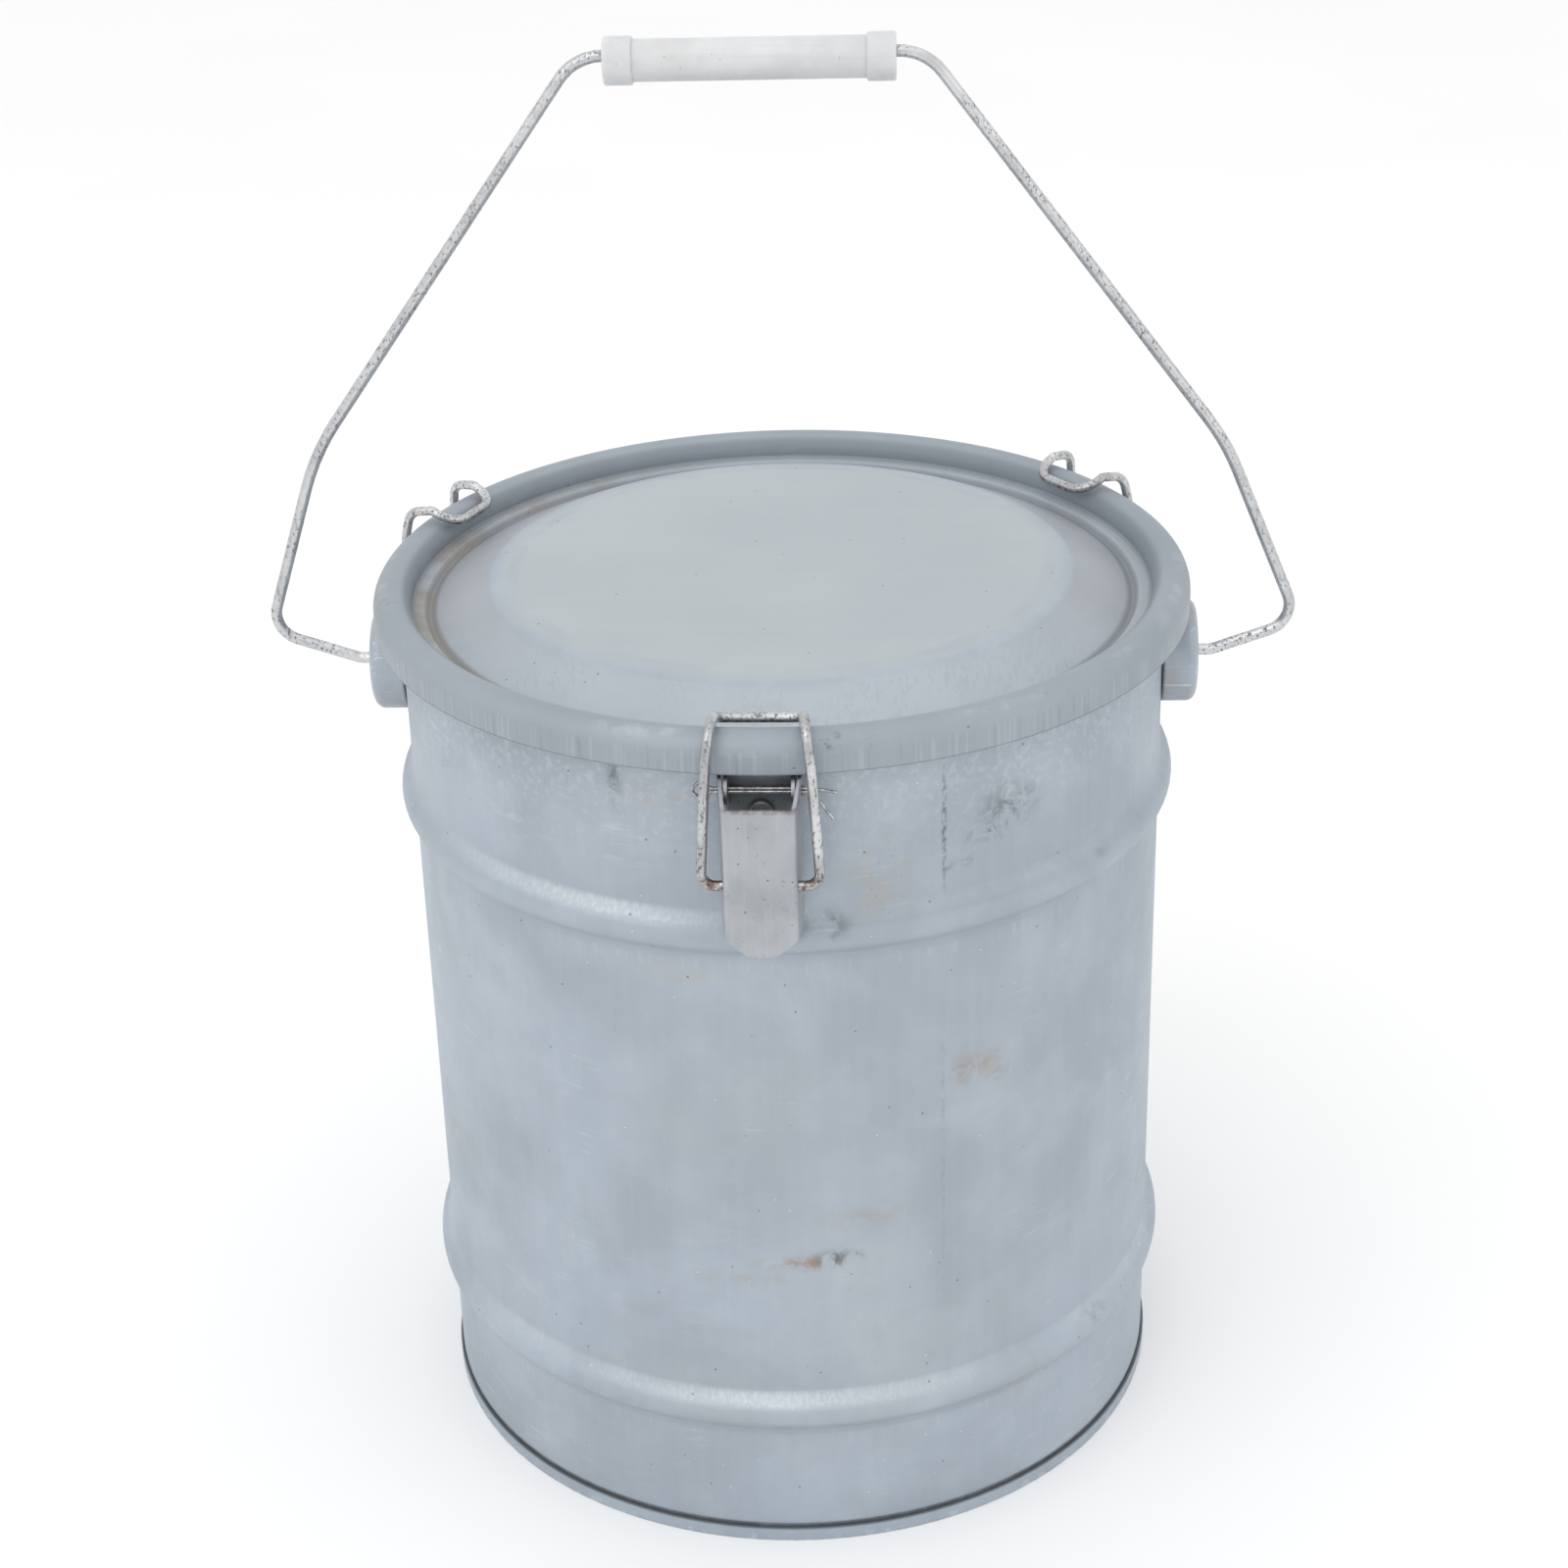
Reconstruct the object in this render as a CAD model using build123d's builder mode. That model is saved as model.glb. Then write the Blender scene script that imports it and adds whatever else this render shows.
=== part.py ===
from build123d import *
from math import cos, radians, sin
import os

# Milk can: a lidded sheet-steel pail with three toggle latches and a wire bail.
# Millimetres, +Z up. The origin is the centre of the flat ring that the can stands on.
# The bail hinges about the X axis, and the front latch is on the -Y side.

# ---- driving dimensions ----------------------------------------------------------
SHEET = 0.7                # thickness of the can and lid sheet
FIT = 0.1                  # radial clearance of a wire in its hole
SPLIT = 0.2                # gap between nested sheets

BODY_R = 120.0             # outside radius of the wall
WALL_BOTTOM = 1.2          # lower edge of the wall, inside the seam
BEAD_OUT = 4.0             # how far a rolled bead stands out
BEAD_HALF = 8.5            # half the height of a bead
BEAD_HEIGHTS = (50.4, 221.5)
CURL_Z = 281.5             # height of the wired top edge
CURL_WIRE = 3.0            # diameter of the wire in that edge
CURL_WRAP = 245.0          # degrees of sheet round the wire

SEAM_HEIGHT = 5.0          # double seam round the foot
PAN_Z = 8.0                # raised floor of the can

RIM_R = 122.1              # centre line of the lid's rolled rim
RIM_Z = 283.1
RIM_OUT = 5.95             # outside radius of the roll
SKIRT_BOTTOM = 277.7
LEDGE_R = 112.4
LEDGE_Z = 281.6
GROOVE_R = 110.6
GROOVE_Z = 279.5
CONE_TOP_R = 91.3
CONE_TOP_Z = 288.4
PLATE_R = 84.0
PLATE_Z = 289.6
DISH_ROUNDS = (2.0, 3.0, 0.8, 0.8, 0.8)    # bend radii from the plate out to the rim
GASKET_GAP = 0.4

EAR_Z = 258.0              # height of the bail's hinge line
EAR_R = 16.2
EAR_FACE = 130.6           # distance of an ear's outer face from the centre line
EAR_SHEET = 1.0
EAR_ROUND = 3.0

BAIL_WIRE = 3.6
BAIL_ELBOW = (163.2, 267.6)        # lower corner of the bail: half width, height
BAIL_KNEE = (141.0, 327.3)
BAIL_SHOULDER = (51.3, 449.0)      # the loose grip hangs on the wire, 1.5 below its middle
BAIL_BENDS = (6.0, 9.0, 80.0, 16.0)       # bend radii from an ear up to the grip
BAIL_STUB = 5.0                    # straight wire outside an ear
BAIL_HEAD_R = 3.2
BAIL_HEAD = 1.6
BAIL_HEAD_PLAY = 0.6       # between a head and the inside of its ear
BAIL_LEAN = 5.0            # the bail sits this far to the left at its grip
GRIP_Z = 447.5
GRIP_LENGTH = 85.5
GRIP_R = 6.2
COLLAR_R = 7.1
COLLAR = 8.6
COLLAR_ROUND = 0.7
GRIP_BORE_R = 3.6

LATCHES = {"front": -91.0, "rear_right": 37.0, "rear_left": 155.0}
LEVER_SHEET = 1.0
PIN_R, PIN_Z = 125.5, 272.0        # lever pivot: distance from the centre line, height
HOOK_R, HOOK_Z = 133.8, 246.0      # hoop pivot in the lever
LEVER_FACE = 137.0
LEVER_BACK = 121.0
LEVER_HALF_FACE = 10.4
LEVER_HALF_BACK = 12.6
LEVER_BOTTOM = 224.5
LEVER_TOP = 271.0
LEVER_ROUND = 1.8                  # bend between the face and a cheek
LEVER_CUT = 8.0                    # height of the cut lower corners
LEVER_TIP_HALF = 3.8               # half width left between those corners
LEVER_RAKE = 9.0                   # how far a cheek's back corner is above the face's end
BOSS_R = 4.5
PIN_WIRE = 0.9
PIN_HOLE_R = 1.4
PIN_SPREAD = 14.6                  # where the pin's two tails part
PIN_TAIL_UP = (21.5, -0.8)         # a tail's end: distance from the middle, height over the pivot
PIN_TAIL_DOWN = (20.4, -9.0)
PIN_EYE_START, PIN_EYE_END = 13.6, 19.6
PIN_EYE_HALF = 2.9
PIN_BENDS = (1.5, 1.0, 1.4, 1.6, 1.4, 1.0, 1.5)
HOOP_WIRE = 3.0
HOOP_HALF_BOTTOM = 17.0
HOOP_HALF_TOP = 12.2
HOOP_END = 9.6                     # the wire's ends, inside the lever
HOOP_ARCH = ((14.6, 131.2, 283.5), (13.6, 129.6, 291.4), (12.7, 121.6, 292.6))
HOOP_TIPS = {"front": (114.3, 289.2), "rear": (113.3, 288.8)}    # where a hoop hooks inside the rim
HOOP_BENDS = {"front": (4.0, 12.0, 5.0, 4.0, 3.0), "rear": (4.0, 12.0, 5.0, 2.6, 7.5)}
BRACKET_HALF = 10.0
BRACKET_BOTTOM = 251.0
RIVET_R = 2.0
RIVET_HEAD_R = 3.4
RIVET_HEAD = 1.5           # height of the outer head
RIVET_ROUND = 1.0
RIVET_FLAT = 1.0           # height of the head inside the can
RIVET_HEIGHTS = (255.5, 263.5)

os.makedirs("parts", exist_ok=True)


# ---- helpers ---------------------------------------------------------------------
def save(piece, name):
    """Label a finished piece and write its STEP file."""
    piece.part.label = name
    export_step(piece.part, f"parts/{name}.step")


def outward(azimuth):
    return Vector(cos(radians(azimuth)), sin(radians(azimuth)), 0)


def sideways(azimuth):
    return Vector(-sin(radians(azimuth)), cos(radians(azimuth)), 0)


def front_plane(azimuth, radius=0.0):
    """Faces outward: x runs round the can, y is height."""
    return Plane(origin=outward(azimuth) * radius, x_dir=sideways(azimuth), z_dir=outward(azimuth))


def side_plane(azimuth):
    """Cuts through the middle of a latch: x is distance from the centre line, y is height."""
    return Plane(origin=(0, 0, 0), x_dir=outward(azimuth), z_dir=sideways(azimuth) * -1)


def top_plane(azimuth, height):
    """Looks along a latch from above: x runs round the can, y is distance from the centre line."""
    return Plane(origin=(0, 0, height), x_dir=sideways(azimuth), z_dir=(0, 0, -1))


def in_space(azimuth, across, radius, height):
    return outward(azimuth) * radius + sideways(azimuth) * across + Vector(0, 0, height)


# ---- can -------------------------------------------------------------------------
curl_r = BODY_R + CURL_WIRE / 2 + FIT

with BuildPart() as body_shell:
    with BuildSketch(Plane.XZ):
        with BuildLine():
            low = (BODY_R, WALL_BOTTOM)
            for bead_z in BEAD_HEIGHTS:
                Line(low, (BODY_R, bead_z - BEAD_HALF))
                waist = (BODY_R + BEAD_OUT / 2, bead_z - BEAD_HALF / 2)
                crown = (BODY_R + BEAD_OUT, bead_z)
                shoulder = (BODY_R + BEAD_OUT / 2, bead_z + BEAD_HALF / 2)
                low = (BODY_R, bead_z + BEAD_HALF)
                rise = TangentArc((BODY_R, bead_z - BEAD_HALF), waist, tangent=(0, 1))
                TangentArc(waist, crown, tangent=rise % 1)
                fall = TangentArc(crown, shoulder, tangent=(0, 1))
                TangentArc(shoulder, low, tangent=fall % 1)
            Line(low, (BODY_R, CURL_Z))
            # the top edge, rolled outward round its wire
            CenterArc((curl_r, CURL_Z), curl_r - BODY_R, 180, -CURL_WRAP)
            offset(amount=SHEET, side=Side.LEFT)
        make_face()
    revolve(axis=Axis.Z)
    for azimuth in LATCHES.values():
        with BuildSketch(front_plane(azimuth, BODY_R - 10)):
            with Locations(*[(0, z) for z in RIVET_HEIGHTS]):
                Circle(RIVET_R + FIT / 2)
        extrude(amount=20, mode=Mode.SUBTRACT)
save(body_shell, "body_shell")

with BuildPart() as rim_wire:
    with BuildSketch(Plane.XZ):
        with Locations((curl_r, CURL_Z)):
            Circle(CURL_WIRE / 2)
    revolve(axis=Axis.Z)
save(rim_wire, "rim_wire")

# The floor is a shallow pan. Its edge turns down, under the wall and up outside it.
pan_r = BODY_R - SHEET - SPLIT
seam_r = BODY_R + SPLIT + SHEET
with BuildPart() as bottom_pan:
    with BuildSketch(Plane.XZ):
        with BuildLine():
            Polyline(
                (0, PAN_Z),
                (pan_r, PAN_Z),
                (pan_r, SHEET),
                (seam_r - SHEET, SHEET),
                (seam_r - SHEET, SEAM_HEIGHT),
                (seam_r, SEAM_HEIGHT),
                (seam_r, 0),
                (pan_r - SHEET, 0),
                (pan_r - SHEET, PAN_Z - SHEET),
                (0, PAN_Z - SHEET),
                close=True,
            )
        make_face()
    revolve(axis=Axis.Z)
    foot = bottom_pan.edges().filter_by(GeomType.CIRCLE).group_by(Axis.Z)[0]
    fillet(foot, radius=SHEET * 0.4)
save(bottom_pan, "bottom_pan")

# ---- bail and its ears -----------------------------------------------------------
hinge_line = Axis((0, 0, EAR_Z), (1, 0, 0))


def build_ear(name, azimuth):
    """A pressed round cup, open towards the wall, with the bail's hole in its face."""
    with BuildPart() as ear:
        with BuildSketch(side_plane(azimuth)):
            with BuildLine():
                FilletPolyline(
                    (BODY_R - EAR_ROUND, EAR_Z + EAR_R),
                    (EAR_FACE, EAR_Z + EAR_R),
                    (EAR_FACE, EAR_Z + BAIL_WIRE / 2 + FIT),
                    radius=EAR_ROUND,
                )
                offset(amount=EAR_SHEET, side=Side.RIGHT)
            make_face()
        revolve(axis=hinge_line)
        # the open edge follows the round wall
        with BuildSketch(Plane.XY.offset(EAR_Z - EAR_R)):
            Circle(BODY_R + FIT / 2)
        extrude(amount=EAR_R * 2, mode=Mode.SUBTRACT)
    save(ear, name)


build_ear("ear_right", 0)
build_ear("ear_left", 180)


def leaning(x, z):
    """Shift a point of the bail to the left: quickly just above the ears, hardly at all near the grip."""
    rise = (z - EAR_Z) / (GRIP_Z - EAR_Z)
    return (x - BAIL_LEAN * rise * (2 - rise), z)


head_end = EAR_FACE - EAR_SHEET - BAIL_HEAD_PLAY - BAIL_HEAD
right_leg = [
    (head_end, EAR_Z),
    (EAR_FACE + BAIL_STUB, EAR_Z),
    BAIL_ELBOW,
    BAIL_KNEE,
    BAIL_SHOULDER,
]
left_leg = [(-x, z) for x, z in reversed(right_leg)]

with BuildPart() as bail_wire:
    with BuildLine(Plane.XZ):
        outline = [leaning(x, z) for x, z in right_leg + left_leg]
        bail_route = FilletPolyline(*outline, radius=BAIL_BENDS + BAIL_BENDS[::-1])
    with BuildSketch(Plane(origin=bail_route @ 0, z_dir=bail_route % 0)):
        Circle(BAIL_WIRE / 2)
    sweep()
    # upset heads keep the wire's ends inside the ears
    for side in (head_end, -head_end - BAIL_HEAD):
        with BuildSketch(Plane.YZ.offset(side)):
            with Locations((0, EAR_Z)):
                Circle(BAIL_HEAD_R)
        extrude(amount=BAIL_HEAD)
save(bail_wire, "bail_wire")

with BuildPart() as bail_grip:
    with BuildSketch(Plane.XZ):
        with Locations((-BAIL_LEAN, GRIP_Z)):
            Rectangle(GRIP_LENGTH, GRIP_R, align=(Align.CENTER, Align.MIN))
            Rectangle(GRIP_LENGTH, GRIP_BORE_R, align=(Align.CENTER, Align.MIN), mode=Mode.SUBTRACT)
        for side in (-1, 1):
            with Locations((-BAIL_LEAN + side * (GRIP_LENGTH - COLLAR) / 2, GRIP_Z + GRIP_BORE_R)):
                Rectangle(COLLAR, COLLAR_R - GRIP_BORE_R, align=(Align.CENTER, Align.MIN))
    revolve(axis=Axis((0, 0, GRIP_Z), (1, 0, 0)))
    rings = bail_grip.edges().filter_by(GeomType.CIRCLE)
    collar_edges = rings.group_by(SortBy.RADIUS)[-1]
    fillet(collar_edges, radius=COLLAR_ROUND)
save(bail_grip, "bail_grip")

# ---- lid -------------------------------------------------------------------------
inner_wall = RIM_R - RIM_OUT
outer_wall = RIM_R + RIM_OUT

with BuildPart() as lid_panel:
    with BuildSketch(Plane.XZ):
        with BuildLine():
            FilletPolyline(
                (0, PLATE_Z),
                (PLATE_R, PLATE_Z),
                (CONE_TOP_R, CONE_TOP_Z),
                (GROOVE_R, GROOVE_Z),
                (LEDGE_R, LEDGE_Z),
                (inner_wall, LEDGE_Z),
                (inner_wall, RIM_Z),
                radius=DISH_ROUNDS,
            )
            CenterArc((RIM_R, RIM_Z), RIM_OUT, 180, -180)
            Line((outer_wall, RIM_Z), (outer_wall, SKIRT_BOTTOM))
            offset(amount=SHEET, side=Side.RIGHT)
        make_face()
    revolve(axis=Axis.Z)
save(lid_panel, "lid_panel")

gasket_r = RIM_OUT - SHEET - SPLIT
curl_top = CURL_Z + CURL_WIRE / 2 + FIT + SHEET
with BuildPart() as lid_gasket:
    with BuildSketch(Plane.XZ):
        with Locations((RIM_R, RIM_Z)):
            Circle(gasket_r)
        with Locations((RIM_R, curl_top + GASKET_GAP)):
            Rectangle(gasket_r * 3, gasket_r * 2, align=(Align.CENTER, Align.MIN), mode=Mode.INTERSECT)
    revolve(axis=Axis.Z)
save(lid_gasket, "lid_gasket")


# ---- toggle latches --------------------------------------------------------------
def build_bracket(name, azimuth):
    """A folded plate on the wall with two cheeks that carry the lever's pin."""
    back = BODY_R + FIT / 2
    reach = PIN_R + BOSS_R
    with BuildPart() as bracket:
        with BuildSketch(top_plane(azimuth, PIN_Z + BOSS_R)):
            with Locations((0, back)):
                Rectangle(BRACKET_HALF * 2, reach - back, align=(Align.CENTER, Align.MIN))
            with Locations((0, back + LEVER_SHEET)):
                Rectangle((BRACKET_HALF - LEVER_SHEET) * 2, reach, align=(Align.CENTER, Align.MIN), mode=Mode.SUBTRACT)
        extrude(amount=PIN_Z + BOSS_R - BRACKET_BOTTOM)
        with BuildSketch(side_plane(azimuth)):
            with Locations((PIN_R, PIN_Z)):
                Circle(BOSS_R - 0.3)
            with Locations((back, PIN_Z + BOSS_R)):
                Rectangle(1, BOSS_R * 2 + 2, align=(Align.MIN, Align.MAX))
            make_hull()
            with Locations((back, BRACKET_BOTTOM)):
                Rectangle(LEVER_SHEET, PIN_Z - BRACKET_BOTTOM, align=(Align.MIN, Align.MIN))
        extrude(amount=BRACKET_HALF, both=True, mode=Mode.INTERSECT)
        with BuildSketch(side_plane(azimuth)):
            with Locations((PIN_R, PIN_Z)):
                Circle(PIN_HOLE_R)
        extrude(amount=BRACKET_HALF, both=True, mode=Mode.SUBTRACT)
        with BuildSketch(front_plane(azimuth, BODY_R)):
            with Locations(*[(0, z) for z in RIVET_HEIGHTS]):
                Circle(RIVET_R + FIT / 2)
        extrude(amount=LEVER_SHEET * 2, mode=Mode.SUBTRACT)
    save(bracket, name)


def build_rivets(name, azimuth):
    """Two rivets through a bracket and the wall, with a head on each side."""
    inside = BODY_R - SHEET - SPLIT
    outside = BODY_R + FIT / 2 + LEVER_SHEET
    with BuildPart() as rivets:
        with BuildSketch(front_plane(azimuth, inside)):
            with Locations(*[(0, z) for z in RIVET_HEIGHTS]):
                Circle(RIVET_R)
        extrude(amount=outside - inside)
        for start, height in ((inside - RIVET_FLAT, RIVET_FLAT), (outside, RIVET_HEAD)):
            with BuildSketch(front_plane(azimuth, start)):
                with Locations(*[(0, z) for z in RIVET_HEIGHTS]):
                    Circle(RIVET_HEAD_R)
            extrude(amount=height)
        outer_faces = rivets.faces().sort_by(Axis((0, 0, 0), outward(azimuth)))[-2:]
        fillet(outer_faces.edges(), radius=RIVET_ROUND)
    save(rivets, name)


def build_pin(name, azimuth):
    """A split pin: one thin wire, doubled through the cheeks, with an eye and two spread tails."""
    half_gap = PIN_WIRE * 0.6
    eye_middle = -(PIN_EYE_START + PIN_EYE_END) / 2
    route = (
        (PIN_TAIL_UP[0], PIN_Z + PIN_TAIL_UP[1]),
        (PIN_SPREAD, PIN_Z + half_gap),
        (-PIN_EYE_START, PIN_Z + half_gap),
        (eye_middle, PIN_Z + PIN_EYE_HALF),
        (-PIN_EYE_END, PIN_Z),
        (eye_middle, PIN_Z - PIN_EYE_HALF),
        (-PIN_EYE_START, PIN_Z - half_gap),
        (PIN_SPREAD, PIN_Z - half_gap),
        (PIN_TAIL_DOWN[0], PIN_Z + PIN_TAIL_DOWN[1]),
    )
    with BuildPart() as pin:
        with BuildLine(front_plane(azimuth, PIN_R)):
            wire = FilletPolyline(*route, radius=PIN_BENDS)
        with BuildSketch(Plane(origin=wire @ 0, z_dir=wire % 0)):
            Circle(PIN_WIRE / 2)
        sweep()
    save(pin, name)


def build_lever(name, azimuth):
    """A channel-section handle: two cheeks that pivot on the pin, joined by a face."""
    inner_face = LEVER_FACE - LEVER_SHEET
    with BuildPart() as lever:
        with BuildSketch(top_plane(azimuth, PIN_Z + BOSS_R)):
            with BuildLine():
                FilletPolyline(
                    (-LEVER_HALF_BACK, LEVER_BACK - 1),
                    (-LEVER_HALF_FACE, LEVER_FACE),
                    (LEVER_HALF_FACE, LEVER_FACE),
                    (LEVER_HALF_BACK, LEVER_BACK - 1),
                    radius=LEVER_ROUND,
                )
                offset(amount=LEVER_SHEET, side=Side.RIGHT)
            make_face()
        extrude(amount=PIN_Z + BOSS_R - LEVER_BOTTOM)
        # side outline: a round boss at the pin, a shallower cheek below, a raked lower end
        with BuildSketch(side_plane(azimuth)):
            with Locations((PIN_R, PIN_Z)):
                Circle(BOSS_R)
            with BuildLine():
                Polyline((LEVER_FACE, LEVER_TOP), (LEVER_FACE, PIN_Z - 12), (PIN_R + 1, PIN_Z - 12), close=True)
            make_face()
            make_hull()
            with BuildLine():
                Polyline(
                    (LEVER_FACE, PIN_Z - 8),
                    (PIN_R + 1, PIN_Z - 8),
                    (PIN_R + 1, LEVER_BOTTOM + LEVER_RAKE),
                    (LEVER_FACE, LEVER_BOTTOM),
                    close=True,
                )
            make_face()
        extrude(amount=LEVER_HALF_BACK, both=True, mode=Mode.INTERSECT)
        # front outline: the face ends below the pin, and its lower corners are cut off
        with BuildSketch(front_plane(azimuth, LEVER_BACK)):
            with Locations((0, LEVER_TOP)):
                Rectangle((LEVER_HALF_FACE - LEVER_SHEET) * 2, BOSS_R * 3, align=(Align.CENTER, Align.MIN))
            for side in (-1, 1):
                with BuildLine():
                    Polyline(
                        (side * LEVER_TIP_HALF, LEVER_BOTTOM),
                        (side * (LEVER_HALF_BACK + 1), LEVER_BOTTOM),
                        (side * (LEVER_HALF_BACK + 1), LEVER_BOTTOM + LEVER_CUT),
                        close=True,
                    )
                make_face()
        extrude(amount=LEVER_FACE - LEVER_BACK, mode=Mode.SUBTRACT)
        with BuildSketch(side_plane(azimuth)):
            with Locations((PIN_R, PIN_Z)):
                Circle(PIN_HOLE_R)
            with Locations((HOOK_R, HOOK_Z)):
                Circle(HOOP_WIRE / 2 + FIT)
        extrude(amount=LEVER_HALF_BACK, both=True, mode=Mode.SUBTRACT)
    save(lever, name)


def build_hoop(name, azimuth, tip, bends):
    """A sprung wire hoop from the lever's cheeks, up over the lid's rim and down inside it."""
    half = [
        (HOOP_END, HOOK_R, HOOK_Z),
        (HOOP_HALF_BOTTOM, HOOK_R, HOOK_Z),
        *HOOP_ARCH,
        (HOOP_HALF_TOP, *tip),
    ]
    points = half + [(-across, radius, z) for across, radius, z in reversed(half)]
    with BuildPart() as hoop:
        with BuildLine():
            corners = [in_space(azimuth, *point) for point in points]
            wire = FilletPolyline(*corners, radius=bends + bends[::-1])
        with BuildSketch(Plane(origin=wire @ 0, z_dir=wire % 0)):
            Circle(HOOP_WIRE / 2)
        sweep()
    save(hoop, name)


for place, azimuth in LATCHES.items():
    build_bracket(f"{place}_latch_bracket", azimuth)
    build_rivets(f"{place}_bracket_rivets", azimuth)
    build_pin(f"{place}_split_pin", azimuth)
    build_lever(f"{place}_latch_lever", azimuth)
    row = place.split("_")[0]
    build_hoop(f"{place}_latch_hoop", azimuth, HOOP_TIPS[row], HOOP_BENDS[row])
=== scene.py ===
import math

import bpy
from mathutils import Matrix, Vector

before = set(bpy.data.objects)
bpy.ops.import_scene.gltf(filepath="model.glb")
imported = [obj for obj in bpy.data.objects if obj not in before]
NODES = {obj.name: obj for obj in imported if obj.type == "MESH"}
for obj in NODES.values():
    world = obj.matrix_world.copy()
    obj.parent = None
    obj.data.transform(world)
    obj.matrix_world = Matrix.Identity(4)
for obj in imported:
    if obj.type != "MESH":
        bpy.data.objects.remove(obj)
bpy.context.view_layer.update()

# ---- places on the object, in metres ----------------------------------------------
BEAD_HEIGHTS = (0.0504, 0.2215)
BEAD_WORN_AND_HIGHLIGHT_AT = (-88.0, -118.0)                 # where each bead is rubbed most and its painted highlight is strongest, degrees round
WALL_R = 0.12                                  # outside radius of the wall
PLATE_R = 0.0835                               # raised plate in the middle of the lid
RIM_TOP_MM = 286.0                             # height of the lid's stains
GRIP_SHIFT = 0.005                             # the grip sits this far to the left
MM_PER_M = 1000


# ---- node building ---------------------------------------------------------------
class Shader:
    """One material. Its methods add nodes and give back an output socket."""

    def __init__(self, name):
        self.material = bpy.data.materials.new(name)
        self.material.use_nodes = True
        self.tree = self.material.node_tree
        self.surface = self.tree.nodes["Principled BSDF"]
        self.point = self.tree.nodes.new("ShaderNodeTexCoord").outputs["Object"]
        split = self.tree.nodes.new("ShaderNodeSeparateXYZ")
        self.join(split.inputs[0], self.point)
        self.x, self.y, self.z = split.outputs

    def join(self, socket, value):
        if isinstance(value, bpy.types.NodeSocket):
            self.tree.links.new(value, socket)
        elif value is not None:
            socket.default_value = value

    def math(self, operation, a, b=None, clamp=False):
        node = self.tree.nodes.new("ShaderNodeMath")
        node.operation = operation
        node.use_clamp = clamp
        self.join(node.inputs[0], a)
        self.join(node.inputs[1], b)
        return node.outputs[0]

    def add(self, a, b):
        return self.math("ADD", a, b)

    def times(self, a, b):
        return self.math("MULTIPLY", a, b)

    def flip(self, a):
        return self.math("SUBTRACT", 1.0, a)

    def most(self, a, b):
        return self.math("MAXIMUM", a, b)

    def step(self, value, start, end, low=0.0, high=1.0):
        """Goes smoothly from low to high as value goes from start to end."""
        node = self.tree.nodes.new("ShaderNodeMapRange")
        node.interpolation_type = "SMOOTHSTEP"
        self.join(node.inputs["Value"], value)
        node.inputs["From Min"].default_value = start
        node.inputs["From Max"].default_value = end
        node.inputs["To Min"].default_value = low
        node.inputs["To Max"].default_value = high
        return node.outputs["Result"]

    def band(self, value, middle, half, soft):
        """1 within half of middle, fading to 0 over soft."""
        away = self.math("ABSOLUTE", self.math("SUBTRACT", value, middle))
        return self.flip(self.step(away, half, half + soft))

    def mix(self, factor, a, b, blend="MIX"):
        node = self.tree.nodes.new("ShaderNodeMix")
        node.data_type = "RGBA"
        node.blend_type = blend
        self.join(node.inputs["Factor"], factor)
        self.join(node.inputs["A"], a if isinstance(a, bpy.types.NodeSocket) else (*a, 1.0))
        self.join(node.inputs["B"], b if isinstance(b, bpy.types.NodeSocket) else (*b, 1.0))
        return node.outputs["Result"]

    def stretched(self, stretch, shift=(0.0, 0.0, 0.0), turn=0.0):
        node = self.tree.nodes.new("ShaderNodeMapping")
        self.join(node.inputs["Vector"], self.point)
        node.inputs["Location"].default_value = shift
        node.inputs["Rotation"].default_value = (0.0, 0.0, turn)
        node.inputs["Scale"].default_value = stretch
        return node.outputs[0]

    def noise(self, scale, detail=3.0, rough=0.55, stretch=None, shift=(0, 0, 0), turn=0.0, warp=0.0):
        node = self.tree.nodes.new("ShaderNodeTexNoise")
        where = self.point
        if stretch or turn or any(shift):
            where = self.stretched(stretch or (1, 1, 1), shift, turn)
        self.join(node.inputs["Vector"], where)
        node.inputs["Scale"].default_value = scale
        node.inputs["Detail"].default_value = detail
        node.inputs["Roughness"].default_value = rough
        node.inputs["Distortion"].default_value = warp
        return node.outputs["Fac"]

    def specks(self, scale, size, shift=(0, 0, 0), stretch=None):
        """Small separate spots: 1 inside a spot."""
        node = self.tree.nodes.new("ShaderNodeTexVoronoi")
        self.join(node.inputs["Vector"], self.stretched(stretch or (1, 1, 1), shift))
        node.inputs["Scale"].default_value = scale
        return self.flip(self.step(node.outputs["Distance"], size * 0.5, size))

    def radius(self):
        return self.math("SQRT", self.add(self.times(self.x, self.x), self.times(self.y, self.y)))

    def spot(self, place, size, soft=1.0):
        """Fades from 1 at a place on the object to 0 at a distance, along X, Y and Z."""
        shift = self.tree.nodes.new("ShaderNodeVectorMath")
        shift.operation = "SUBTRACT"
        self.join(shift.inputs[0], self.point)
        shift.inputs[1].default_value = place
        scale = self.tree.nodes.new("ShaderNodeVectorMath")
        scale.operation = "DIVIDE"
        self.join(scale.inputs[0], shift.outputs[0])
        scale.inputs[1].default_value = size
        length = self.tree.nodes.new("ShaderNodeVectorMath")
        length.operation = "LENGTH"
        self.join(length.inputs[0], scale.outputs[0])
        return self.flip(self.step(length.outputs["Value"], 1.0 - soft, 1.0))

    def crevice(self, distance, low, high):
        """1 in corners and covered places, 0 in the open: a mask for painted shade."""
        node = self.tree.nodes.new("ShaderNodeAmbientOcclusion")
        node.samples = 8
        node.inputs["Distance"].default_value = distance
        return self.flip(self.step(node.outputs["AO"], low, high))

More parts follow.
